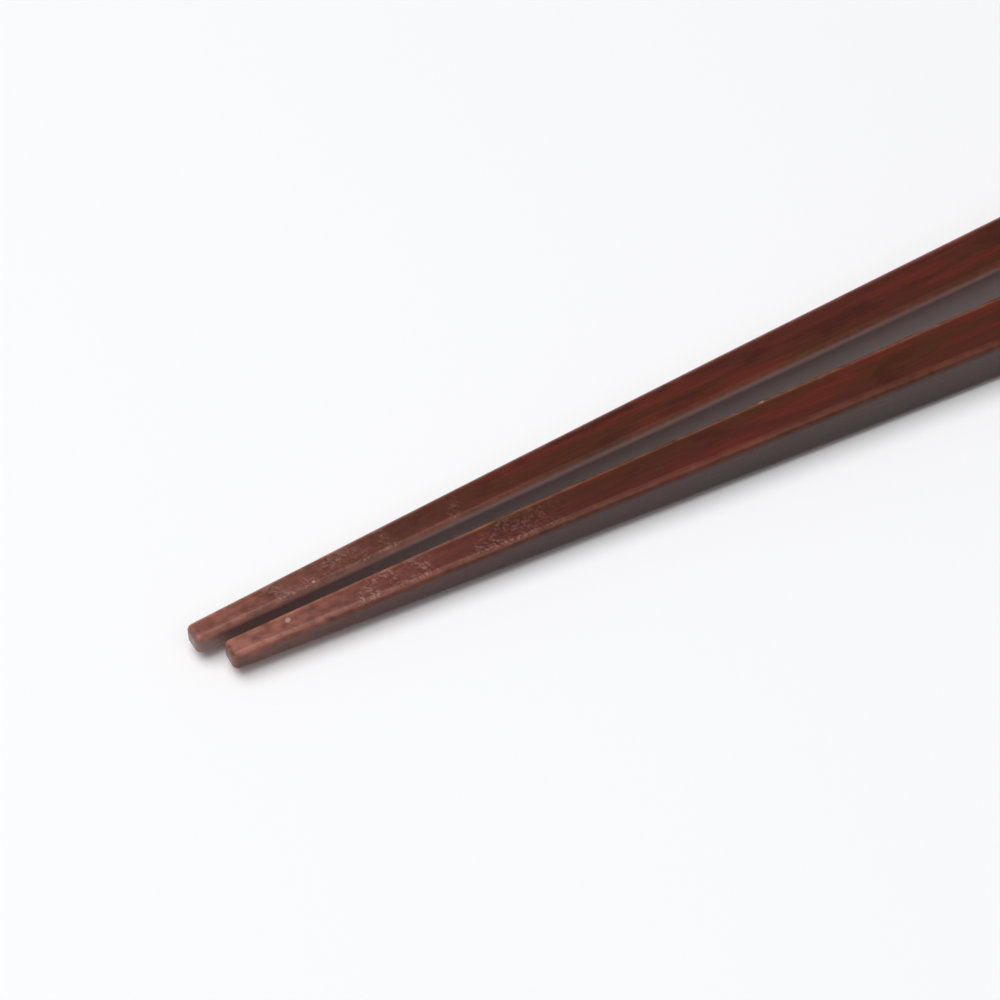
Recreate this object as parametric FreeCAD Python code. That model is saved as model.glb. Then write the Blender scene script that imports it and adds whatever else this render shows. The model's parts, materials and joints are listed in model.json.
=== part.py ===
import FreeCAD, Part
import math
import os

from FreeCAD import Vector

# A pair of wooden chopsticks lying on a table, tips close together and heads apart.
# Each stick is one blank of hardwood, planed square. Its sides bow in a parabola from a thin
# tip to a thick head, its four long edges are rounded, and both ends are cut flat and eased.
# +X runs from the tips to the heads along the middle of the pair, +Y points across to the
# back stick, and +Z is up. The origin is the bottom centre of the pair's box.
# Sizes are in millimetres and degrees.

# One stick
STICK_LENGTH = 225.0
TIP_WIDTH = 2.5  # across the flats at the tip
HEAD_WIDTH = 8.0  # across the flats at the head
TIP_EDGE_RADIUS = 0.7  # rounding of the long edges at the tip
HEAD_EDGE_RADIUS = 1.2  # rounding of the long edges at the head
TIP_END_RADIUS = 0.6  # rounding around the tip's flat end
HEAD_END_RADIUS = 0.5  # rounding around the head's flat end

# How the two sticks lie
TIP_GAP = 0.9  # clear distance between the facing sides at the tips
TIP_STAGGER = 2.3  # how far the back tip lies beyond the front one
SPLAY_ANGLE = 3.5  # angle between the two sticks

# A rounding stays inside the face or the edge that it is cut on
LARGEST_EDGE_SHARE = 0.45  # long edges: of the stick's width
LARGEST_END_SHARE = 0.9  # flat ends: of the long edges' radius

SECTION_COUNT = 5  # sections that the stick's skin is drawn over
CORNER_COUNT = 4
SAME_PLACE = 0.001  # two positions this close are the same

ORIGIN = Vector(0, 0, 0)
ALONG = Vector(1, 0, 0)
ACROSS = Vector(0, 1, 0)
UP = Vector(0, 0, 1)


def width_at(x):
    """Width across the flats: a parabola that is level at the head."""
    return HEAD_WIDTH - (HEAD_WIDTH - TIP_WIDTH) * (1 - x / STICK_LENGTH) ** 2


def half_width_slope(x):
    """How fast one side falls away from the stick's axis."""
    return (HEAD_WIDTH - TIP_WIDTH) / STICK_LENGTH * (1 - x / STICK_LENGTH)


def edge_radius_at(x):
    """Radius of the long edges, which grows evenly from tip to head."""
    wanted = TIP_EDGE_RADIUS + (HEAD_EDGE_RADIUS - TIP_EDGE_RADIUS) * x / STICK_LENGTH
    return min(wanted, LARGEST_EDGE_SHARE * width_at(x))


def rounded_square(x):
    """The stick's outline square to its axis at x."""
    half_width = width_at(x) / 2
    radius = edge_radius_at(x)
    flat = half_width - radius
    bulge = flat + radius * math.sqrt(0.5)
    edges = []
    for corner in range(CORNER_COUNT):
        side = Part.makeLine(Vector(x, half_width, -flat), Vector(x, half_width, flat))
        rounding = Part.Arc(
            Vector(x, half_width, flat), Vector(x, bulge, bulge), Vector(x, flat, half_width))
        for edge in (side, rounding.toShape()):
            edges.append(edge.rotated(ORIGIN, ALONG, corner * 360 / CORNER_COUNT))
    return Part.Wire(edges)


def end_edges(stick, x):
    """The edges around the flat end at x."""
    return [edge for edge in stick.Edges
            if all(abs(vertex.X - x) < SAME_PLACE for vertex in edge.Vertexes)]


def chopstick():
    """One stick on its own axis, from the tip at the origin to the head along +X."""
    places = [STICK_LENGTH * step / (SECTION_COUNT - 1) for step in range(SECTION_COUNT)]
    stick = Part.makeLoft([rounded_square(x) for x in places], True)
    for x, wanted in ((0, TIP_END_RADIUS), (STICK_LENGTH, HEAD_END_RADIUS)):
        radius = min(wanted, LARGEST_END_SHARE * edge_radius_at(x))
        stick = stick.makeFillet(radius, end_edges(stick, x))
    return stick.Solids[0]


def laid_down(stick):
    """Lift the head until the bowed underside is level below the balance point."""
    slope = half_width_slope(stick.CenterOfGravity.x)
    return stick.rotated(ORIGIN, ACROSS, -math.degrees(math.atan(slope)))


def placed(stick, side):
    """Turn a stick half the splay to its side of the middle, and set its tip in place."""
    tip_spread = TIP_WIDTH + TIP_GAP
    turned = stick.rotated(ORIGIN, UP, side * SPLAY_ANGLE / 2)
    return turned.translated(Vector(-side * TIP_STAGGER / 2, side * tip_spread / 2, 0))


def make_pair():
    """Both sticks on the table, with the pair's bottom centre at the origin."""
    stick = laid_down(chopstick())
    pair = {"front_chopstick": placed(stick, -1), "back_chopstick": placed(stick, 1)}
    box = Part.makeCompound(list(pair.values())).optimalBoundingBox(False, False)
    to_origin = Vector(-box.Center.x, -box.Center.y, -box.ZMin)
    return {node: solid.translated(to_origin) for node, solid in pair.items()}


os.makedirs("parts", exist_ok=True)
for node, solid in make_pair().items():
    solid.exportStep(f"parts/{node}.step")
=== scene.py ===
"""A pair of lacquered hardwood chopsticks, with a roughened grip near each tip."""

import json
import math

import bpy
from mathutils import Matrix, Vector


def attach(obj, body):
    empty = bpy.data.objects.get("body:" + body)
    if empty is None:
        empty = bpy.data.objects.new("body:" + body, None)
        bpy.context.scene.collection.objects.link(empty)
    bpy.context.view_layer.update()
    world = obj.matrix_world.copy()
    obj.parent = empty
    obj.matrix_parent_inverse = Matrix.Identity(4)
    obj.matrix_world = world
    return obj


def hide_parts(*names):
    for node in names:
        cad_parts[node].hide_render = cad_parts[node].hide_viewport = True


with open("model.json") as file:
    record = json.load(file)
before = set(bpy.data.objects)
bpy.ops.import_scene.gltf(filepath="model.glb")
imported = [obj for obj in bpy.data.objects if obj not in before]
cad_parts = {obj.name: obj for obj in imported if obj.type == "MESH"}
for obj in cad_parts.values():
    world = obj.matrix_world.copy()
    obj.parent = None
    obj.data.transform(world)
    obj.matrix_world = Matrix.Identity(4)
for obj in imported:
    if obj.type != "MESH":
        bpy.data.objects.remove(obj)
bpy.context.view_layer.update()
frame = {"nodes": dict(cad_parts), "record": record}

bl_info = {
    "name": "Lacquered Chopsticks",
    "version": (1, 0, 0),
    "blender": (4, 5, 0),
    "location": "3D View > Sidebar > Chopsticks",
    "description": "Builds a pair of bowed square chopsticks and a plain stage to show them on",
    "category": "Add Mesh",
}

BODY = "root"
MM = 0.001
IMAGE_SIDE = 1000  # pixels, for the places that are given by pixel
SENSOR_WIDTH = 36.0
QUARTER_TURN = math.pi / 2

# One row for each stick: its solid, the mount that gives its axis, the seed of its grain, how
# worn its tip is, the colour painted on its side faces and ends (painted shade on the front
# stick, painted reflection on the back one) and its share near the tip and near the head, and
# its painted glints, pale specks each a place in the stick's own axes and a radius
STICKS = (
    {"node": "front_chopstick", "mount": "front_head_face", "seed": 3.0, "wear": 1.0,
     "side_shade_and_reflection_colour": "painted_shade_brown", "side_shade_and_reflection_share": (0.85, 0.80),
     "painted_glints": (((0.0065, 0.0003, 0.0014), 0.00035), ((0.0601, 0.0023, 0.0023), 0.00045))},
    {"node": "back_chopstick", "mount": "back_head_face", "seed": 11.0, "wear": 0.75,
     "side_shade_and_reflection_colour": "painted_reflection_grey", "side_shade_and_reflection_share": (1.0, 0.05),
     "painted_glints": (((0.0130, -0.0009, 0.0015), 0.00020),)},
)


def stick_placement(stick):
    """The stick's own axes in the frame, from its tip with +X towards its head, and its length."""
    mount = next(m for m in frame["record"]["mounts"] if m["name"] == stick["mount"])
    head = Vector(mount["pos_m"])
    along = Vector(mount["axis"]).normalized()
    across = Vector((0, 0, 1)).cross(along).normalized()
    up = along.cross(across)
    vertices = frame["nodes"][stick["node"]].data.vertices
    length = max((head - vertex.co).dot(along) for vertex in vertices)
    placement = Matrix((along, across, up)).transposed().to_4x4()
    placement.translation = head - along * length
    return placement, length


FRONT_PLACEMENT, STICK_LENGTH = stick_placement(STICKS[0])


class ChopstickShape(bpy.types.PropertyGroup):
    """Sizes of one stick. They repeat the solid's, and the length is read from it."""

    length: bpy.props.FloatProperty(
        name="Length", description="Tip to head", default=STICK_LENGTH, unit="LENGTH")
    tip_width: bpy.props.FloatProperty(
        name="Tip Width", description="Across the flats at the tip",
        default=2.5 * MM, unit="LENGTH")
    head_width: bpy.props.FloatProperty(
        name="Head Width", description="Across the flats at the head",
        default=8.0 * MM, unit="LENGTH")
    tip_edge_radius: bpy.props.FloatProperty(
        name="Tip Edge Radius", description="Rounding of the long edges at the tip",
        default=0.7 * MM, unit="LENGTH")
    head_edge_radius: bpy.props.FloatProperty(
        name="Head Edge Radius", description="Rounding of the long edges at the head",
        default=1.2 * MM, unit="LENGTH")
    tip_end_radius: bpy.props.FloatProperty(
        name="Tip End Radius", description="Rounding around the tip's flat end",
        default=0.6 * MM, unit="LENGTH")
    head_end_radius: bpy.props.FloatProperty(
        name="Head End Radius", description="Rounding around the head's flat end",
        default=0.5 * MM, unit="LENGTH")
    grip_length: bpy.props.FloatProperty(
        name="Grip Length", description="How far the roughened grip runs from the tip",
        default=34 * MM, unit="LENGTH")
    crinkle_height: bpy.props.FloatProperty(
        name="Crinkle Height", description="Height of the grip's raised crinkles",
        default=0.06 * MM, unit="LENGTH")
    crinkle_spacing: bpy.props.FloatProperty(
        name="Crinkle Spacing", description="Usual distance from crinkle to crinkle",
        default=0.5 * MM, unit="LENGTH")
    waviness: bpy.props.FloatProperty(
        name="Waviness", description="How far hand sanding leaves the faces from flat",
        default=0.03 * MM, unit="LENGTH")


class LacquerFinish(bpy.types.PropertyGroup):
    """Colours, as sRGB hex values, and gloss of the lacquered wood, with the painted shade, painted
    reflection and painted glints on it.
    """

    red_brown: bpy.props.StringProperty(
        name="Red Brown", description="Most of the stained wood", default="53241C")
    olive_brown: bpy.props.StringProperty(
        name="Olive Brown", description="The browner bands", default="4C2713")
    deep_red: bpy.props.StringProperty(
        name="Deep Red", description="The redder streaks", default="63261A")
    dark_brown: bpy.props.StringProperty(
        name="Dark Brown", description="Clouds where the stain went in deeper",
        default="3C1813")
    worn_pink: bpy.props.StringProperty(
        name="Worn Pink", description="The rubbed wood at the tip", default="985F52")
    # Painted shade: darkens the front stick's side faces and ends, most of all low on the near side
    painted_shade_brown: bpy.props.StringProperty(
        name="Shade Brown", description="The front stick's side faces and ends",
        default="2E1914")
    # Painted reflection: a pale grey on the back stick's side faces and ends, fading out towards
    # the head
    painted_reflection_grey: bpy.props.StringProperty(
        name="Dull Grey", description="The back stick's dulled side faces and ends",
        default="A8938F")
    # Painted glints: the pale specks, and part of the paler crests in the grip
    chip: bpy.props.StringProperty(
        name="Chip", description="Small chips in the lacquer", default="C4A096")
    # Also painted as a rim highlight on the edges away from the camera
    bare_wood_and_highlight: bpy.props.StringProperty(
        name="Bare Wood", description="Where the stain is rubbed off",
        default="B97F62")
    # Also painted shade at the bottoms of the grip's pits
    pore_dark_and_pit_shade: bpy.props.StringProperty(
        name="Pore Dark", description="Pores, and the bottoms of the grip's pits",
        default="2C110D")
    gloss_roughness: bpy.props.FloatProperty(
        name="Gloss Roughness", description="Roughness of the smooth lacquer",
        default=0.24, subtype="FACTOR")
    grip_roughness: bpy.props.FloatProperty(
        name="Grip Roughness", description="Roughness of the grip",
        default=0.32, subtype="FACTOR")


class StageSettings(bpy.types.PropertyGroup):
    """Camera, floor and ambient light."""

    floor_colour: bpy.props.StringProperty(
        name="Floor Colour", description="The pale floor, as an sRGB hex value",
        default="FAFAFB")
    ambient: bpy.props.FloatProperty(
        name="Ambient", description="Brightness of the room around the lamps", default=0.20)
    lens: bpy.props.FloatProperty(
        name="Lens", description="Focal length in millimetres", default=120.0)
    azimuth: bpy.props.FloatProperty(
        name="Azimuth", description="Turn of the camera round the pair, from looking along +Y",
        default=math.radians(-29.05), subtype="ANGLE")
    elevation: bpy.props.FloatProperty(
        name="Elevation", description="Slope of the view down to the floor",
        default=math.radians(51.54), subtype="ANGLE")
    distance: bpy.props.FloatProperty(
        name="Distance", description="Camera to the floor point below the front tip",
        default=323.4 * MM, unit="LENGTH")
    tip_column: bpy.props.FloatProperty(
        name="Tip Column", description="Pixel column of the floor point below the front tip",
        default=230.3)
    tip_row: bpy.props.FloatProperty(
        name="Tip Row", description="Pixel row of the floor point below the front tip",
        default=670.5)


def linear_colour(hex_value):
    """The linear RGBA of an sRGB hex value."""
    shares = [int(hex_value[at:at + 2], 16) / 255 for at in (0, 2, 4)]
    return (*[c / 12.92 if c <= 0.04045 else ((c + 0.055) / 1.055) ** 2.4 for c in shares], 1.0)


def add_node(tree, kind, inputs=None, **settings):
    """Add a node with its settings, and fill its inputs with values or links."""
    node = tree.nodes.new(kind)
    for name, value in settings.items():
        setattr(node, name, value)
    for name, value in (inputs or {}).items():
        if isinstance(value, bpy.types.NodeSocket):
            tree.links.new(value, node.inputs[name])
        else:
            node.inputs[name].default_value = value
    return node


MATH = "ShaderNodeMath"
VECTOR = "ShaderNodeVectorMath"
RANGE = "ShaderNodeMapRange"


def add_steps(tree, fields, steps):
    """Add one node for each step of a worked sum. A step is its name, its node, what the node
    does, and its inputs: numbers, or the names of earlier steps. A range's inputs are what it
    reads, where it starts and ends, and its results there. Results go into fields."""
    for name, kind, action, *values in steps:
        setting = "interpolation_type" if kind == RANGE else "operation"
        inputs = {at: fields[v] if isinstance(v, str) else v for at, v in enumerate(values)}
        node = add_node(tree, kind, inputs, label=name.replace("_", " "), **{setting: action})
        fields[name] = next(socket for socket in node.outputs if socket.enabled)


# Rings along the stick, and points round each ring
RING_POINTS = 132
END_RINGS = 8  # from the middle of a flat end out to its rounding
ROUND_RINGS = 6  # over the rounding
BODY_RINGS = 640
TIP_ROUND = END_RINGS
BODY_START = TIP_ROUND + ROUND_RINGS
HEAD_ROUND = BODY_START + BODY_RINGS
HEAD_END = HEAD_ROUND + ROUND_RINGS
LAST_RING = HEAD_END + END_RINGS
EVEN_SHARE = 0.27  # of the length, spread evenly over the rings
CROWDING = 8.0  # power by which the rest leaves more rings for the tip
SHARPEST = 0.01 * MM  # smallest corner radius on a ring
WELD = 0.002 * MM

# Wear, painted rim highlight, painted shade and painted reflection round a ring. "Sideways" is
# -1 on the near side and 1 on the far side, and "level" is 1 on the top and -1 on the underside.
NEAR_EDGE_SHARE = 0.30  # share, on the edges towards the camera, of the wear and painted rim highlight on those away from it
END_EDGE_WEAR = 0.8
NEAR_SIDE_START = -0.55  # sideways, where the near side's painted shade and painted reflection set in
NEAR_SIDE_TOP_SHADE_AND_REFLECTION = 0.55
NEAR_SIDE_LEVELS = (0.8, -0.4)  # levels from the share at the top of the near side to the full share lower down
FAR_SIDE_RANGE = (0.35, 0.90)  # sideways
FAR_SIDE_SHADE_AND_REFLECTION = 0.45
TIP_END_SHADE_AND_REFLECTION = 0.6

# How the outline is worked out. "ring" counts from the tip's middle to the head's middle.
OUTLINE_STEPS = (
    ("tip_face", RANGE, "LINEAR", "ring", 0.0, TIP_ROUND, 0.0, 1.0),
    ("tip_turn", RANGE, "LINEAR", "ring", TIP_ROUND, BODY_START, 0.0, QUARTER_TURN),
    ("body", RANGE, "LINEAR", "ring", BODY_START, HEAD_ROUND, 0.0, 1.0),
    ("head_turn", RANGE, "LINEAR", "ring", HEAD_ROUND, HEAD_END, 0.0, QUARTER_TURN),
    ("head_face", RANGE, "LINEAR", "ring", HEAD_END, LAST_RING, 1.0, 0.0),
    ("face_share", MATH, "MULTIPLY", "tip_face", "head_face"),
    # Distance from the tip
    ("tip_cosine", MATH, "COSINE", "tip_turn"),
    ("tip_sine", MATH, "SINE", "tip_turn"),
    ("head_cosine", MATH, "COSINE", "head_turn"),
    ("head_sine", MATH, "SINE", "head_turn"),
    ("tip_rise", MATH, "SUBTRACT", 1.0, "tip_cosine"),
    ("from_tip", MATH, "MULTIPLY", "tip_rise", "Tip End Radius"),
    ("end_radii", MATH, "ADD", "Tip End Radius", "Head End Radius"),
    ("body_length", MATH, "SUBTRACT", "Length", "end_radii"),
    ("crowded", MATH, "POWER", "body", CROWDING),
    ("crowded_share", MATH, "MULTIPLY", "crowded", 1.0 - EVEN_SHARE),
    ("body_share", MATH, "MULTIPLY_ADD", "body", EVEN_SHARE, "crowded_share"),
    ("to_body", MATH, "MULTIPLY_ADD", "body_share", "body_length", "from_tip"),
    ("along", MATH, "MULTIPLY_ADD", "head_sine", "Head End Radius", "to_body"),
    # How far the end rounding pulls the ring in
    ("tip_pull", MATH, "SUBTRACT", 1.0, "tip_sine"),
    ("head_pull", MATH, "SUBTRACT", 1.0, "head_cosine"),
    ("tip_inset", MATH, "MULTIPLY", "tip_pull", "Tip End Radius"),
    ("inset", MATH, "MULTIPLY_ADD", "head_pull", "Head End Radius", "tip_inset"),
    # Half width and corner radius there
    ("share", MATH, "DIVIDE", "along", "Length"),
    ("share_left", MATH, "SUBTRACT", 1.0, "share"),
    ("bow", MATH, "POWER", "share_left", 2.0),
    ("growth", MATH, "SUBTRACT", "Head Width", "Tip Width"),
    ("missing", MATH, "MULTIPLY", "bow", "growth"),
    ("width", MATH, "SUBTRACT", "Head Width", "missing"),
    ("side", MATH, "MULTIPLY", "width", 0.5),
    ("half_width", MATH, "SUBTRACT", "side", "inset"),
    ("radius_growth", MATH, "SUBTRACT", "Head Edge Radius", "Tip Edge Radius"),
    ("edge_radius", MATH, "MULTIPLY_ADD", "share", "radius_growth", "Tip Edge Radius"),
    ("radius_left", MATH, "SUBTRACT", "edge_radius", "inset"),
    ("corner_radius", MATH, "MAXIMUM", "radius_left", SHARPEST),
    # A square ring of that width, with its corners drawn in to arcs
    ("flat", MATH, "SUBTRACT", "half_width", "corner_radius"),
    ("flat_below", MATH, "MULTIPLY", "flat", -1.0),
    ("square", VECTOR, "MULTIPLY", "tube", (0.0, 1.0, 1.0)),
    ("on_square", VECTOR, "MULTIPLY", "square", "half_width"),
    ("not_below", VECTOR, "MAXIMUM", "on_square", "flat_below"),
    ("arc_centre", VECTOR, "MINIMUM", "not_below", "flat"),
    ("off_centre", VECTOR, "SUBTRACT", "on_square", "arc_centre"),
    ("outward", VECTOR, "NORMALIZE", "off_centre"),
    ("on_arc", VECTOR, "MULTIPLY_ADD", "outward", "corner_radius", "arc_centre"),
    ("on_ring", VECTOR, "MULTIPLY", "on_arc", "face_share"),
    # Up to 1 in the middle of each rounding and 0 on the flats, for wear and a painted rim
    # highlight: the edges away from the camera are paler than those towards it.
    ("corner_sum", VECTOR, "DOT_PRODUCT", "outward", (0.0, 1.0, 1.0)),
    ("corner_square", MATH, "MULTIPLY", "corner_sum", "corner_sum"),
    ("corner_off", MATH, "SUBTRACT", "corner_square", 1.0),
    ("corner", MATH, "ABSOLUTE", "corner_off"),
    ("off_ends", MATH, "MULTIPLY", "tip_sine", "head_cosine"),
    ("sideways", VECTOR, "DOT_PRODUCT", "outward", (0.0, 1.0, 0.0)),
    ("more_behind", RANGE, "LINEAR", "sideways", -0.3, 0.3, NEAR_EDGE_SHARE, 1.0),
    ("off_ends_behind", MATH, "MULTIPLY", "off_ends", "more_behind"),
    ("long_edge", MATH, "MULTIPLY", "corner", "off_ends_behind"),
    ("tip_rim", MATH, "MULTIPLY", "tip_sine", "tip_cosine"),
    ("head_rim", MATH, "MULTIPLY", "head_sine", "head_cosine"),
    ("rim", MATH, "ADD", "tip_rim", "head_rim"),
    ("end_edge", MATH, "MULTIPLY", "rim", END_EDGE_WEAR),
    ("edge", MATH, "MAXIMUM", "long_edge", "end_edge"),
    # Painted shade on the front stick and painted reflection on the back one, up to 1, on the side
    # faces and the ends: more towards the bottom of the near side, less on the far side
    ("near_side", RANGE, "SMOOTHSTEP", "sideways", NEAR_SIDE_START, -1.0, 0.0, 1.0),
    ("rise", VECTOR, "DOT_PRODUCT", "on_square", (0.0, 0.0, 1.0)),
    ("level", MATH, "DIVIDE", "rise", "half_width"),
    ("lower_down", RANGE, "LINEAR", "level", *NEAR_SIDE_LEVELS, NEAR_SIDE_TOP_SHADE_AND_REFLECTION, 1.0),
    ("near_side_low", MATH, "MULTIPLY", "near_side", "lower_down"),
    ("far_side", RANGE, "SMOOTHSTEP", "sideways", *FAR_SIDE_RANGE, 0.0, FAR_SIDE_SHADE_AND_REFLECTION),
    ("side_face", MATH, "ADD", "near_side_low", "far_side"),
    ("tip_end", MATH, "MULTIPLY", "tip_cosine", TIP_END_SHADE_AND_REFLECTION),
    ("side_or_tip", MATH, "MAXIMUM", "side_face", "tip_end"),
    ("side_tone", MATH, "MAXIMUM", "side_or_tip", "head_sine"),
)

# The grip is lacquer that was crinkled while wet: thin raised lines in loose patches, with
# pits between them. The real ones are 0.2 to 0.5 mm apart, and the finer ones wouldn't show,
# so all of them are drawn at the coarser end.
GRIP_FADE = 0.75  # share of the grip's length where it begins to fade out
RUBBED_LENGTH = 9 * MM  # the tip itself is rubbed nearly smooth
RUBBED_SHARE = 0.2  # of the relief is left there
PATCH_SIZE = 4 * MM
PATCH_RANGE = (0.44, 0.60)  # of its noise, from outside a patch to inside
BETWEEN_PATCHES = 0.10  # of the relief
SIDE_SHADE_AND_REFLECTION_FLAT = 0.4  # share of the painted shade and reflection at which the relief is down to its share on the sides
ON_SIDES = 0.10  # of the relief
LINE_HALF_WIDTH = 0.09  # of the crinkle noise
PIT_SPACING = 1.1 * MM
PIT_RANGE = (0.08, 0.34)  # from a pit's bottom to its rim, in pit spacings
PIT_DEPTH = 0.9  # of the crinkle height
SUNK_SHARE = 0.4  # lowers the grip by about half its relief, to keep the outline in place
CRINKLE_STRETCH = (0.6, 1.0, 1.0)  # crinkles run a little along the stick
WAVE_LENGTH = 14 * MM
RELIEF_STEPS = (
    ("grip_middle", MATH, "MULTIPLY", "Grip Length", GRIP_FADE),
    ("grip_end", MATH, "MULTIPLY", "Grip Length", 2.0 - GRIP_FADE),
    ("fade", RANGE, "SMOOTHSTEP", "from_tip", "grip_middle", "grip_end", 1.0, 0.0),
    ("rubbed", RANGE, "SMOOTHSTEP", "from_tip", RUBBED_LENGTH / 3, RUBBED_LENGTH, RUBBED_SHARE,
     1.0),
    ("zone", MATH, "MULTIPLY", "fade", "rubbed"),
    ("patch", RANGE, "SMOOTHSTEP", "patch_noise", *PATCH_RANGE, BETWEEN_PATCHES, 1.0),
    ("top_share", RANGE, "LINEAR", "tone_here", 0.0, SIDE_SHADE_AND_REFLECTION_FLAT, 1.0, ON_SIDES),
    ("patches", MATH, "MULTIPLY", "zone", "patch"),
    ("grip", MATH, "MULTIPLY", "patches", "top_share"),
    ("either_side", MATH, "SUBTRACT", "crinkle_noise", 0.5),
    ("off_line", MATH, "ABSOLUTE", "either_side"),
    ("line", RANGE, "SMOOTHSTEP", "off_line", 0.0, LINE_HALF_WIDTH, 1.0, 0.0),
    ("pit", RANGE, "SMOOTHSTEP", "pit_distance", *PIT_RANGE, -PIT_DEPTH, 0.0),
    ("line_and_pit", MATH, "ADD", "line", "pit"),
    ("relief", MATH, "MULTIPLY", "line_and_pit", "grip"),
    ("sunk", MATH, "MULTIPLY_ADD", "grip", -SUNK_SHARE, "relief"),
    ("crinkled", MATH, "MULTIPLY", "sunk", "Crinkle Height"),
    ("wave", MATH, "SUBTRACT", "wave_noise", 0.5),
    ("height", MATH, "MULTIPLY_ADD", "wave", "Waviness", "crinkled"),
    ("lift", VECTOR, "MULTIPLY", "normal", "height"),
)

# What the node tree is given
LENGTH_INPUTS = (
    "Length", "Tip Width", "Head Width", "Tip Edge Radius", "Head Edge Radius", "Tip End Radius",
    "Head End Radius", "Grip Length", "Crinkle Height", "Crinkle Spacing", "Waviness")
OTHER_INPUTS = (
    ("Seed", "NodeSocketFloat"),
    ("Tip Position", "NodeSocketVector"),
    ("Turn", "NodeSocketVector"),
    ("Material", "NodeSocketMaterial"),
)


def build_stick_tree():
    """Node tree of one stick: a square tube drawn over its bowed outline, crinkled at the tip."""
    tree = bpy.data.node_groups.new("bowed_stick", "GeometryNodeTree")
    for name, kind in [(name, "NodeSocketFloat") for name in LENGTH_INPUTS] + list(OTHER_INPUTS):
        tree.interface.new_socket(name, in_out="INPUT", socket_type=kind)
    tree.interface.new_socket("Geometry", in_out="OUTPUT", socket_type="NodeSocketGeometry")
    given = add_node(tree, "NodeGroupInput").outputs
    fields = {name: given[name] for name in LENGTH_INPUTS}

    spine = add_node(tree, "GeometryNodeCurvePrimitiveLine", {"End": (1.0, 0.0, 0.0)})
    stations = add_node(tree, "GeometryNodeResampleCurve", {
        "Curve": spine.outputs[0], "Count": LAST_RING + 1})
    square = add_node(tree, "GeometryNodeCurvePrimitiveQuadrilateral", {
        "Width": 2.0, "Height": 2.0})
    profile = add_node(tree, "GeometryNodeResampleCurve", {
        "Curve": square.outputs[0], "Count": RING_POINTS})
    tube = add_node(tree, "GeometryNodeCurveToMesh", {
        "Curve": stations.outputs[0], "Profile Curve": profile.outputs[0]})

    fields["tube"] = add_node(tree, "GeometryNodeInputPosition").outputs[0]
    place = add_node(tree, "ShaderNodeSeparateXYZ", {0: fields["tube"]})
    fields["ring"] = add_node(tree, MATH, {0: place.outputs[0], 1: float(LAST_RING)},
                              operation="MULTIPLY").outputs[0]
    add_steps(tree, fields, OUTLINE_STEPS)
    station = add_node(tree, "ShaderNodeCombineXYZ", {0: fields["along"]})
    outline = add_node(tree, VECTOR, {0: fields["on_ring"], 1: station.outputs[0]},
                       operation="ADD")
    geometry = tube.outputs[0]
    # Kept for the material: wear and a painted rim highlight on the edges, and painted shade and
    # painted reflection on the sides and ends
    for name in ("edge", "side_tone"):
        geometry = add_node(
            tree, "GeometryNodeStoreNamedAttribute",
            {"Geometry": geometry, "Name": name, "Value": fields[name]},
            data_type="FLOAT", domain="POINT").outputs[0]
    drawn = add_node(tree, "GeometryNodeSetPosition", {
        "Geometry": geometry, "Position": outline.outputs[0]})
    welded = add_node(tree, "GeometryNodeMergeByDistance", {
        "Geometry": drawn.outputs[0], "Distance": WELD})

    point = add_node(tree, "GeometryNodeInputPosition").outputs[0]
    fields["from_tip"] = add_node(tree, "ShaderNodeSeparateXYZ", {0: point}).outputs[0]
    fields["normal"] = add_node(tree, "GeometryNodeInputNormal").outputs[0]
    fields["tone_here"] = add_node(
        tree, "GeometryNodeInputNamedAttribute", {"Name": "side_tone"},
        data_type="FLOAT").outputs[0]
    stretched = add_node(tree, VECTOR, {0: point, 1: CRINKLE_STRETCH}, operation="MULTIPLY")
    fineness = add_node(tree, MATH, {0: 1.0, 1: given["Crinkle Spacing"]}, operation="DIVIDE")
    fields["crinkle_noise"] = add_node(
        tree, "ShaderNodeTexNoise",
        {"Vector": stretched.outputs[0], "W": given["Seed"], "Scale": fineness.outputs[0],
         "Detail": 2.0, "Roughness": 0.55, "Distortion": 0.4}, noise_dimensions="4D").outputs[0]
    for name, size, detail in (("patch_noise", PATCH_SIZE, 3.0), ("wave_noise", WAVE_LENGTH, 1.0)):
        fields[name] = add_node(
            tree, "ShaderNodeTexNoise",
            {"Vector": point, "W": given["Seed"], "Scale": 1 / size, "Detail": detail},
            noise_dimensions="4D").outputs[0]
    fields["pit_distance"] = add_node(
        tree, "ShaderNodeTexVoronoi",
        {"Vector": point, "W": given["Seed"], "Scale": 1 / PIT_SPACING},
        voronoi_dimensions="4D").outputs["Distance"]
    add_steps(tree, fields, RELIEF_STEPS)
    kept = add_node(
        tree, "GeometryNodeStoreNamedAttribute",
        {"Geometry": welded.outputs[0], "Name": "relief", "Value": fields["relief"]},
        data_type="FLOAT", domain="POINT")
    lifted = add_node(tree, "GeometryNodeSetPosition", {
        "Geometry": kept.outputs[0], "Offset": fields["lift"]})
    smooth = add_node(tree, "GeometryNodeSetShadeSmooth", {0: lifted.outputs[0]})
    placed = add_node(tree, "GeometryNodeTransform", {
        "Geometry": smooth.outputs[0], "Translation": given["Tip Position"],
        "Rotation": given["Turn"]})
    realized = add_node(tree, "GeometryNodeRealizeInstances", {0: placed.outputs[0]})
    finished = add_node(tree, "GeometryNodeSetMaterial", {
        "Geometry": realized.outputs[0], "Material": given["Material"]})
    add_node(tree, "NodeGroupOutput", {0: finished.outputs[0]})
    return tree


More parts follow.
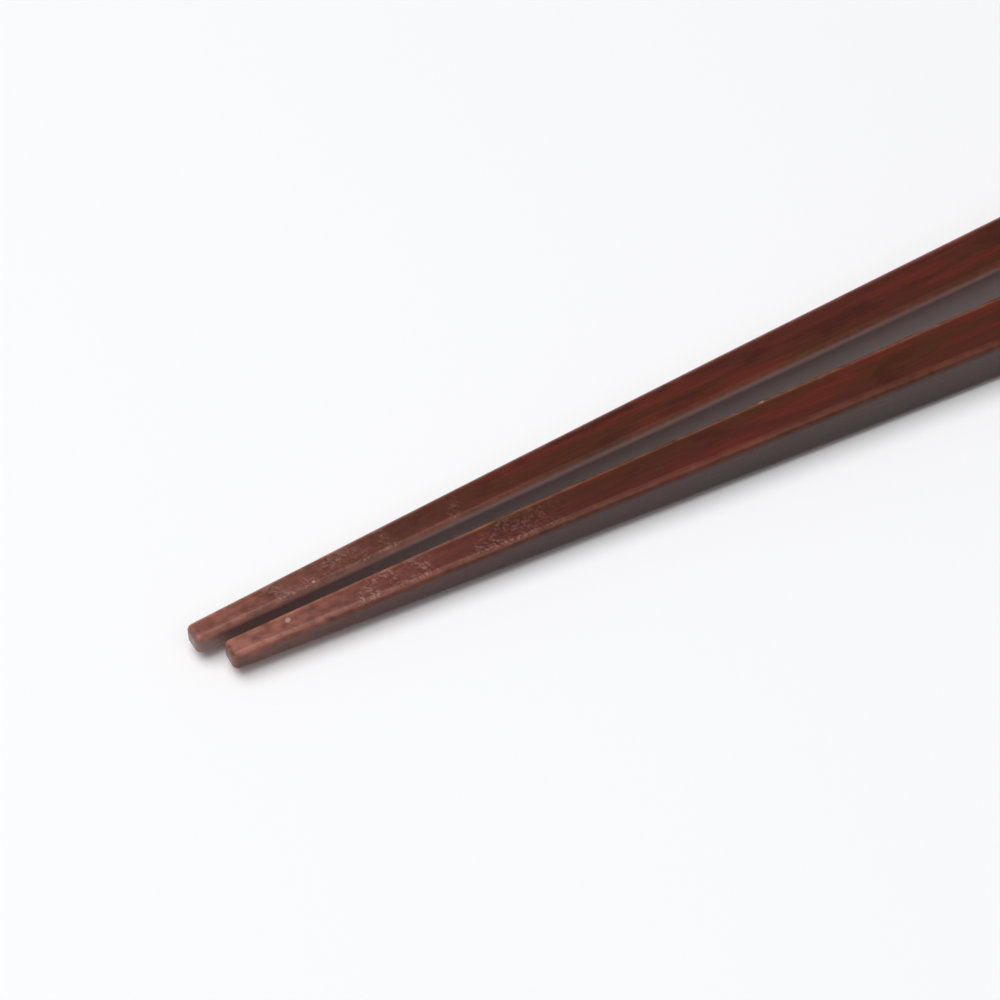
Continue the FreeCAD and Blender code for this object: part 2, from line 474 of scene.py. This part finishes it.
# The wood's patterns: size along the stick and across it, and detail
PATTERNS = {
    "figure": (45 * MM, 3.2 * MM, 2.0),
    "streak": (16 * MM, 1.6 * MM, 3.0),
    "cloud": (7 * MM, 2.2 * MM, 3.0),
    "fibre": (5 * MM, 0.22 * MM, 2.0),
    "pore": (2.0 * MM, 0.11 * MM, 1.0),  # real pores are half as wide, and wouldn't show
    "mottle": (1.3 * MM, 0.8 * MM, 3.0),
    "grit": (0.16 * MM, 0.14 * MM, 2.0),
}
WORN_LENGTH = 42 * MM  # how far from the tip the wood is paler
WORN_POWER = 2.4  # how fast that sets in towards the tip
MOTTLE_SHARES = (0.35, 1.40)  # least and most of the wear where it is uneven
WORN_ON_SIDES = 0.30  # of the wear on the top
EDGE_WEAR_AND_HIGHLIGHT = (0.40, 0.65)  # share of bare wood and painted highlight on the edges, far from the tip and near it
SHADE_AND_REFLECTION_LENGTHS = (60 * MM, 180 * MM)  # between the share of the painted shade and reflection near the tip and near the head
SHADE_AND_REFLECTION_START = (30 * MM, 0.35)  # over how much length from the tip the painted shade and reflection grow to full, and their share at the tip
CREST_RANGE = (0.10, 0.90)  # of the relief, for crests paler from wear and a painted glint
CREST_WEAR_AND_GLINT_SHARE = 0.12
PIT_SHADE_RANGE = (-0.10, -0.60)  # of the relief, for painted shade in the pits
PIT_SHADE_SHARE = 0.60
GRIP_GLOSS_START = 3 * MM  # from here on the grip's roughness turns to the smooth lacquer's
FIBRE_HEIGHT = 0.004 * MM
PORE_DEPTH = 0.012 * MM
GRIT_DEPTH = 0.012 * MM
GRIT_START = 4 * MM  # from here on the grit fades out


def build_lacquer(stick, placement, finish):
    """Lacquered hardwood: jujube or a like dense wood, planed, stained red-brown and coated in
    clear satin lacquer. The eye gets dark streaks lengthwise under an even soft gloss, and a
    paler, duller grip where the lacquer is crinkled and rubbed."""
    material = bpy.data.materials.new(stick["node"] + "_lacquer")
    material.use_nodes = True
    tree = material.node_tree
    shader = tree.nodes["Principled BSDF"]
    # A texture mapping turns the frame's coordinates into the stick's own, from its tip
    point = add_node(
        tree, "ShaderNodeMapping",
        {"Vector": add_node(tree, "ShaderNodeTexCoord").outputs["Object"],
         "Location": placement.to_translation(), "Rotation": placement.to_euler()},
        vector_type="TEXTURE").outputs[0]
    fields = {
        "point": point,
        "from_tip": add_node(tree, "ShaderNodeSeparateXYZ", {0: point}).outputs[0],
        "chip_share": 0.0,
    }
    for name in ("relief", "edge", "side_tone"):
        fields[name] = add_node(
            tree, "ShaderNodeAttribute", attribute_name=name).outputs["Fac"]
    for pattern, (length, width, detail) in PATTERNS.items():
        fineness = (1 / length, 1 / width, 1 / width)
        scaled = add_node(tree, VECTOR, {0: point, 1: fineness}, operation="MULTIPLY")
        fields[pattern] = add_node(
            tree, "ShaderNodeTexNoise",
            {"Vector": scaled.outputs[0], "W": stick["seed"], "Scale": 1.0, "Detail": detail},
            noise_dimensions="4D").outputs[0]
    # Painted glints: pale specks that fade out just beyond their radius
    for place, radius in stick["painted_glints"]:
        add_steps(tree, fields, (
            ("to_chip", VECTOR, "DISTANCE", "point", place),
            ("ragged", MATH, "MULTIPLY_ADD", "grit", radius, "to_chip"),
            ("chip", RANGE, "SMOOTHSTEP", "ragged", radius, 1.5 * radius, 0.6, 0.0),
            ("chip_share", MATH, "MAXIMUM", "chip", "chip_share"),
        ))
    add_steps(tree, fields, (
        ("figure_share", RANGE, "SMOOTHSTEP", "figure", 0.44, 0.58, 0.0, 0.80),
        ("streak_share", RANGE, "SMOOTHSTEP", "streak", 0.48, 0.62, 0.0, 0.70),
        ("cloud_share", RANGE, "SMOOTHSTEP", "cloud", 0.50, 0.64, 0.0, 0.60),
        ("fibre_share", RANGE, "SMOOTHSTEP", "fibre", 0.35, 0.70, 0.0, 0.22),
        ("pore_share", RANGE, "SMOOTHSTEP", "pore", 0.64, 0.72, 0.0, 0.45),
        # Paler towards the tip, and unevenly so
        ("worn_even", RANGE, "LINEAR", "from_tip", 0.0, WORN_LENGTH, 1.0, 0.0),
        ("worn_curve", MATH, "POWER", "worn_even", WORN_POWER),
        ("mottle_share", RANGE, "LINEAR", "mottle", 0.30, 0.70,
         *[share * stick["wear"] for share in MOTTLE_SHARES]),
        ("worn_patchy", MATH, "MULTIPLY", "worn_curve", "mottle_share"),
        ("rubbed", RANGE, "LINEAR", "side_tone", 0.0, 1.0, 1.0, WORN_ON_SIDES),
        ("worn_share", MATH, "MULTIPLY", "worn_patchy", "rubbed"),
        # Rubbed through on the roundings, most of all in the grip, with a painted rim highlight on
        # the far edges
        ("edge_wear", RANGE, "LINEAR", "worn_even", 0.0, 0.7, *EDGE_WEAR_AND_HIGHLIGHT),
        ("edge_patchy", MATH, "MULTIPLY", "edge", "mottle_share"),
        ("edge_share", MATH, "MULTIPLY", "edge_patchy", "edge_wear"),
        # Painted shade and painted reflection on the side faces and the ends
        ("tone_fade", RANGE, "SMOOTHSTEP", "from_tip", *SHADE_AND_REFLECTION_LENGTHS, *stick["side_shade_and_reflection_share"]),
        ("tone_start", RANGE, "SMOOTHSTEP", "from_tip", 0.0, *SHADE_AND_REFLECTION_START, 1.0),
        ("tone_here", MATH, "MULTIPLY", "tone_fade", "tone_start"),
        ("tone_share", MATH, "MULTIPLY", "side_tone", "tone_here"),
        # The grip's crinkles, paler on their crests from wear and a painted glint, and painted
        # shade in their pits
        ("crest_share", RANGE, "SMOOTHSTEP", "relief", *CREST_RANGE, 0.0, CREST_WEAR_AND_GLINT_SHARE),
        ("hollow_share", RANGE, "SMOOTHSTEP", "relief", *PIT_SHADE_RANGE, 0.0, PIT_SHADE_SHARE),
        # Gloss, and the fine height of the skin
        ("roughness", RANGE, "SMOOTHSTEP", "from_tip", GRIP_GLOSS_START, WORN_LENGTH,
         finish.grip_roughness, finish.gloss_roughness),
        ("fibre_height", MATH, "MULTIPLY", "fibre", FIBRE_HEIGHT),
        ("pore_height", MATH, "MULTIPLY", "pore_share", -PORE_DEPTH),
        ("skin_height", MATH, "ADD", "fibre_height", "pore_height"),
        ("grit_depth", RANGE, "LINEAR", "from_tip", GRIT_START, WORN_LENGTH, GRIT_DEPTH, 0.0),
        ("skin", MATH, "MULTIPLY_ADD", "grit", "grit_depth", "skin_height"),
    ))
    colour = linear_colour(finish.red_brown)
    for share, hex_value in (
            ("figure_share", finish.olive_brown), ("streak_share", finish.deep_red),
            ("cloud_share", finish.dark_brown), ("fibre_share", finish.pore_dark_and_pit_shade),
            ("pore_share", finish.pore_dark_and_pit_shade), ("worn_share", finish.worn_pink),
            ("edge_share", finish.bare_wood_and_highlight), ("tone_share", getattr(finish, stick["side_shade_and_reflection_colour"])),
            ("crest_share", finish.chip), ("hollow_share", finish.pore_dark_and_pit_shade),
            ("chip_share", finish.chip)):
        colour = add_node(
            tree, "ShaderNodeMix",
            {"Factor": fields[share], 6: colour, 7: linear_colour(hex_value)},
            data_type="RGBA").outputs[2]
    tree.links.new(colour, shader.inputs["Base Color"])
    tree.links.new(fields["roughness"], shader.inputs["Roughness"])
    shader.inputs["IOR"].default_value = 1.5
    shader.inputs["Specular IOR Level"].default_value = 0.30
    bump = add_node(tree, "ShaderNodeBump", {"Height": fields["skin"], "Distance": 1.0})
    tree.links.new(bump.outputs[0], shader.inputs["Normal"])
    return material


class CHOPSTICKS_OT_add_sticks(bpy.types.Operator):
    """Build both sticks, each in the place of its solid"""

    bl_idname = "chopsticks.add_sticks"
    bl_label = "Add Sticks"

    def execute(self, context):
        shape = context.scene.chopstick_shape
        tree = build_stick_tree()
        sockets = {item.name: item.identifier for item in tree.interface.items_tree
                   if item.in_out == "INPUT"}
        for stick in STICKS:
            placement, _ = stick_placement(stick)
            material = build_lacquer(stick, placement, context.scene.lacquer_finish)
            holder = bpy.data.objects.new("stick_holder", bpy.data.meshes.new("stick_holder"))
            context.scene.collection.objects.link(holder)
            modifier = holder.modifiers.new("stick", "NODES")
            modifier.node_group = tree
            for name in LENGTH_INPUTS:
                modifier[sockets[name]] = getattr(shape, name.lower().replace(" ", "_"))
            modifier[sockets["Crinkle Height"]] = shape.crinkle_height * stick["wear"]
            modifier[sockets["Seed"]] = stick["seed"]
            modifier[sockets["Tip Position"]] = placement.to_translation()
            modifier[sockets["Turn"]] = Vector(placement.to_euler())
            modifier[sockets["Material"]] = material
            depsgraph = context.evaluated_depsgraph_get()
            mesh = bpy.data.meshes.new_from_object(
                holder.evaluated_get(depsgraph), preserve_all_data_layers=True,
                depsgraph=depsgraph)
            bpy.data.objects.remove(holder)
            if not mesh.polygons:
                raise RuntimeError(f"the node tree made no surface for {stick['node']}")
            piece = bpy.data.objects.new(stick["node"] + "_lacquered", mesh)
            context.scene.collection.objects.link(piece)
            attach(piece, BODY)
            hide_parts(stick["node"])
        return {"FINISHED"}


FLOOR_SIDE = 6.0  # metres
ROOM_COLOUR = "FAFCFF"  # a little cool, as the photo's shadows are
CAMERA_WHITE = "FFFFFF"  # what the camera sees past the floor
# Lamps: where each hangs, seen from the pair, its width, and how bright its face is
LAMPS = (
    {"name": "overhead_softbox", "azimuth": 250.0, "elevation": 72.0, "distance": 1.2,
     "size": 1.1, "brightness": 4.2},
    {"name": "front_softbox", "azimuth": -5.0, "elevation": 56.0, "distance": 1.2,
     "size": 0.9, "brightness": 0.85},
)


def direction(azimuth, elevation):
    """The way to something seen from the pair, azimuth 0 being towards -Y."""
    return Vector((math.sin(azimuth) * math.cos(elevation),
                   -math.cos(azimuth) * math.cos(elevation), math.sin(elevation)))


def add_floor(scene, colour):
    """A floor of matt painted board: pale, even and without gloss."""
    half = FLOOR_SIDE / 2
    corners = [(-half, -half, 0), (half, -half, 0), (half, half, 0), (-half, half, 0)]
    mesh = bpy.data.meshes.new("floor")
    mesh.from_pydata(corners, [], [(0, 1, 2, 3)])
    material = bpy.data.materials.new("matt_painted_board")
    material.use_nodes = True
    shader = material.node_tree.nodes["Principled BSDF"]
    shader.inputs["Base Color"].default_value = linear_colour(colour)
    shader.inputs["Roughness"].default_value = 0.9
    shader.inputs["Specular IOR Level"].default_value = 0.1
    mesh.materials.append(material)
    floor = bpy.data.objects.new("floor", mesh)
    scene.collection.objects.link(floor)


def add_lamp(scene, lamp):
    """A round area lamp that faces the pair."""
    light = bpy.data.lights.new(lamp["name"], "AREA")
    light.shape = "DISK"
    light.size = lamp["size"]
    light.energy = lamp["brightness"] * math.pi * math.pi * lamp["size"] ** 2 / 4
    toward = direction(math.radians(lamp["azimuth"]), math.radians(lamp["elevation"]))
    fixture = bpy.data.objects.new(lamp["name"], light)
    fixture.location = toward * lamp["distance"]
    fixture.rotation_euler = toward.to_track_quat("Z", "Y").to_euler()
    scene.collection.objects.link(fixture)


def set_world(scene, ambient):
    """White behind everything for the camera, and a dimmer room for all other rays."""
    world = bpy.data.worlds.new("room")
    world.use_nodes = True
    tree = world.node_tree
    seen = add_node(tree, "ShaderNodeLightPath").outputs["Is Camera Ray"]
    strength = add_node(tree, RANGE, {0: seen, 3: ambient, 4: 1.0})
    tree.links.new(strength.outputs[0], tree.nodes["Background"].inputs["Strength"])
    tint = add_node(tree, "ShaderNodeMix", {
        "Factor": seen, 6: linear_colour(ROOM_COLOUR), 7: linear_colour(CAMERA_WHITE)},
        data_type="RGBA")
    tree.links.new(tint.outputs[2], tree.nodes["Background"].inputs["Color"])
    scene.world = world


def add_camera(scene, stage):
    """Looks down on the tips, with the floor point below the front tip at its pixel."""
    back = direction(stage.azimuth, stage.elevation)
    right = Vector((math.cos(stage.azimuth), math.sin(stage.azimuth), 0))
    up = back.cross(right)
    data = bpy.data.cameras.new("camera")
    data.lens = stage.lens
    data.sensor_width = SENSOR_WIDTH
    pixels_per_unit = stage.lens / SENSOR_WIDTH * IMAGE_SIDE
    sideways = (stage.tip_column - IMAGE_SIDE / 2) / pixels_per_unit
    upwards = (IMAGE_SIDE / 2 - stage.tip_row) / pixels_per_unit
    depth = stage.distance / math.sqrt(1 + sideways ** 2 + upwards ** 2)
    tip = FRONT_PLACEMENT.to_translation()
    tip.z = 0
    matrix = Matrix((right, up, back)).transposed().to_4x4()
    matrix.translation = tip - (right * sideways + up * upwards - back) * depth
    camera = bpy.data.objects.new("camera", data)
    camera.matrix_world = matrix
    scene.collection.objects.link(camera)
    scene.camera = camera


class CHOPSTICKS_OT_add_stage(bpy.types.Operator):
    """Build the floor, the lamps, the room and the camera"""

    bl_idname = "chopsticks.add_stage"
    bl_label = "Add Stage"

    def execute(self, context):
        stage = context.scene.stage_settings
        context.scene.view_settings.view_transform = "Standard"
        add_floor(context.scene, stage.floor_colour)
        for lamp in LAMPS:
            add_lamp(context.scene, lamp)
        set_world(context.scene, stage.ambient)
        add_camera(context.scene, stage)
        return {"FINISHED"}


class CHOPSTICKS_PT_panel(bpy.types.Panel):
    """Lists the pieces and the stage"""

    bl_idname = "CHOPSTICKS_PT_panel"
    bl_label = "Chopsticks"
    bl_space_type = "VIEW_3D"
    bl_region_type = "UI"
    bl_category = "Chopsticks"

    def draw(self, context):
        for operator, settings in (
                (CHOPSTICKS_OT_add_sticks, context.scene.chopstick_shape),
                (CHOPSTICKS_OT_add_sticks, context.scene.lacquer_finish),
                (CHOPSTICKS_OT_add_stage, context.scene.stage_settings)):
            box = self.layout.box()
            for name in settings.__annotations__:
                box.prop(settings, name)
            box.operator(operator.bl_idname)


CLASSES = (
    ChopstickShape, LacquerFinish, StageSettings,
    CHOPSTICKS_OT_add_sticks, CHOPSTICKS_OT_add_stage, CHOPSTICKS_PT_panel)


def register():
    """Register the classes, and hang their settings on the scene."""
    for cls in CLASSES:
        bpy.utils.register_class(cls)
    bpy.types.Scene.chopstick_shape = bpy.props.PointerProperty(type=ChopstickShape)
    bpy.types.Scene.lacquer_finish = bpy.props.PointerProperty(type=LacquerFinish)
    bpy.types.Scene.stage_settings = bpy.props.PointerProperty(type=StageSettings)


def unregister():
    """Take away what register added."""
    del bpy.types.Scene.stage_settings
    del bpy.types.Scene.lacquer_finish
    del bpy.types.Scene.chopstick_shape
    for cls in reversed(CLASSES):
        bpy.utils.unregister_class(cls)


def main():
    """Build the pair and its stage."""
    register()
    bpy.ops.chopsticks.add_sticks()
    bpy.ops.chopsticks.add_stage()


if __name__ == "__main__":
    main()
